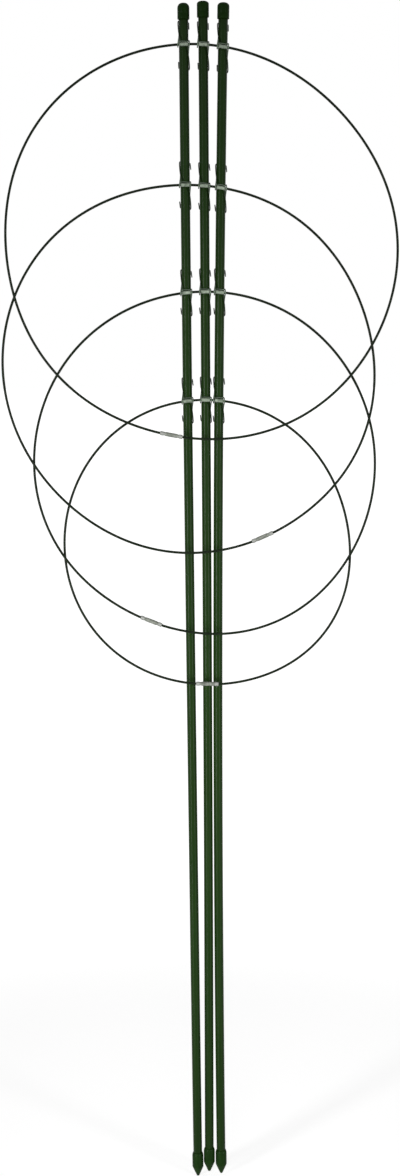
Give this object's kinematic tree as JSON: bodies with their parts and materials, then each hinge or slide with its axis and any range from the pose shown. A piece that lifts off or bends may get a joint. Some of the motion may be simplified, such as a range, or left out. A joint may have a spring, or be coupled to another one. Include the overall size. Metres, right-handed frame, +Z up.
{
  "type": "plant support",
  "caption": "Folding garden plant support: coated steel stakes whose wire rings hang flat on spring-wire clips and swing out level.",
  "frame": {"origin": "the point of the middle stake, the one in the middle of the folded bundle", "axes": "+Z up along the middle stake, +X to the right along the row of stakes, +Y from the hanging rings towards the stakes, away from the viewer"},
  "size_m": [0.4864, 0.0357, 1.5035],
  "materials": {
    "tube_steel": "drawn steel tube, hidden in the coating",
    "stake_coating": "dark green plastic skin with a soft sheen and a faint drawn grain",
    "cap_plastic": "moulded dark green plastic, satin",
    "wire_coating": "very dark green plastic-dipped steel wire",
    "crimp_zinc": "dull zinc-plated crimp",
    "clip_steel": "dark phosphated spring wire, satin"
  },
  "bodies": {
    "stakes": {"left_stake_tube": "tube_steel", "left_stake_coating": "stake_coating", "left_stake_cap": "cap_plastic", "left_stake_tip": "cap_plastic", "middle_stake_tube": "tube_steel", "middle_stake_coating": "stake_coating", "middle_stake_cap": "cap_plastic", "middle_stake_tip": "cap_plastic", "right_stake_tube": "tube_steel", "right_stake_coating": "stake_coating", "right_stake_cap": "cap_plastic", "right_stake_tip": "cap_plastic", "ring_1_left_clip_wire": "clip_steel", "ring_1_middle_clip_wire": "clip_steel", "ring_1_right_clip_wire": "clip_steel", "ring_2_left_clip_wire": "clip_steel", "ring_2_middle_clip_wire": "clip_steel", "ring_2_right_clip_wire": "clip_steel", "ring_3_left_clip_wire": "clip_steel", "ring_3_middle_clip_wire": "clip_steel", "ring_3_right_clip_wire": "clip_steel", "ring_4_left_clip_wire": "clip_steel", "ring_4_middle_clip_wire": "clip_steel", "ring_4_right_clip_wire": "clip_steel"},
    "ring_1": {"ring_1_wire": "wire_coating", "ring_1_ferrule": "crimp_zinc", "ring_1_left_clip_sleeve": "crimp_zinc", "ring_1_middle_clip_sleeve": "crimp_zinc", "ring_1_right_clip_sleeve": "crimp_zinc"},
    "ring_2": {"ring_2_wire": "wire_coating", "ring_2_ferrule": "crimp_zinc", "ring_2_left_clip_sleeve": "crimp_zinc", "ring_2_middle_clip_sleeve": "crimp_zinc", "ring_2_right_clip_sleeve": "crimp_zinc"},
    "ring_3": {"ring_3_wire": "wire_coating", "ring_3_ferrule": "crimp_zinc", "ring_3_left_clip_sleeve": "crimp_zinc", "ring_3_middle_clip_sleeve": "crimp_zinc", "ring_3_right_clip_sleeve": "crimp_zinc"},
    "ring_4": {"ring_4_wire": "wire_coating", "ring_4_ferrule": "crimp_zinc", "ring_4_left_clip_sleeve": "crimp_zinc", "ring_4_middle_clip_sleeve": "crimp_zinc", "ring_4_right_clip_sleeve": "crimp_zinc"}
  },
  "joints": [
    {"name": "ring_1_swing", "type": "hinge", "parent": "stakes", "child": "ring_1", "pos_m": [0.00016, -0.00909, 1.44511], "axis": [-0.9979, 0, 0.064], "range_deg": [0, 80]},
    {"name": "ring_2_swing", "type": "hinge", "parent": "stakes", "child": "ring_2", "pos_m": [0.00059, -0.00904, 1.28044], "axis": [-0.9967, 0, 0.0809], "range_deg": [0, 80]},
    {"name": "ring_3_swing", "type": "hinge", "parent": "stakes", "child": "ring_3", "pos_m": [0.00085, -0.00906, 1.15403], "axis": [-1, 0, -0.0076], "range_deg": [0, 80]},
    {"name": "ring_4_swing", "type": "hinge", "parent": "stakes", "child": "ring_4", "pos_m": [0.00104, -0.00908, 1.02239], "axis": [-1, 0, -0.0066], "range_deg": [0, 80]}
  ],
  "couplings": [
    {"joint": "ring_2_swing", "follows": "ring_1_swing", "ratio": 1},
    {"joint": "ring_3_swing", "follows": "ring_1_swing", "ratio": 1},
    {"joint": "ring_4_swing", "follows": "ring_1_swing", "ratio": 1}
  ]
}
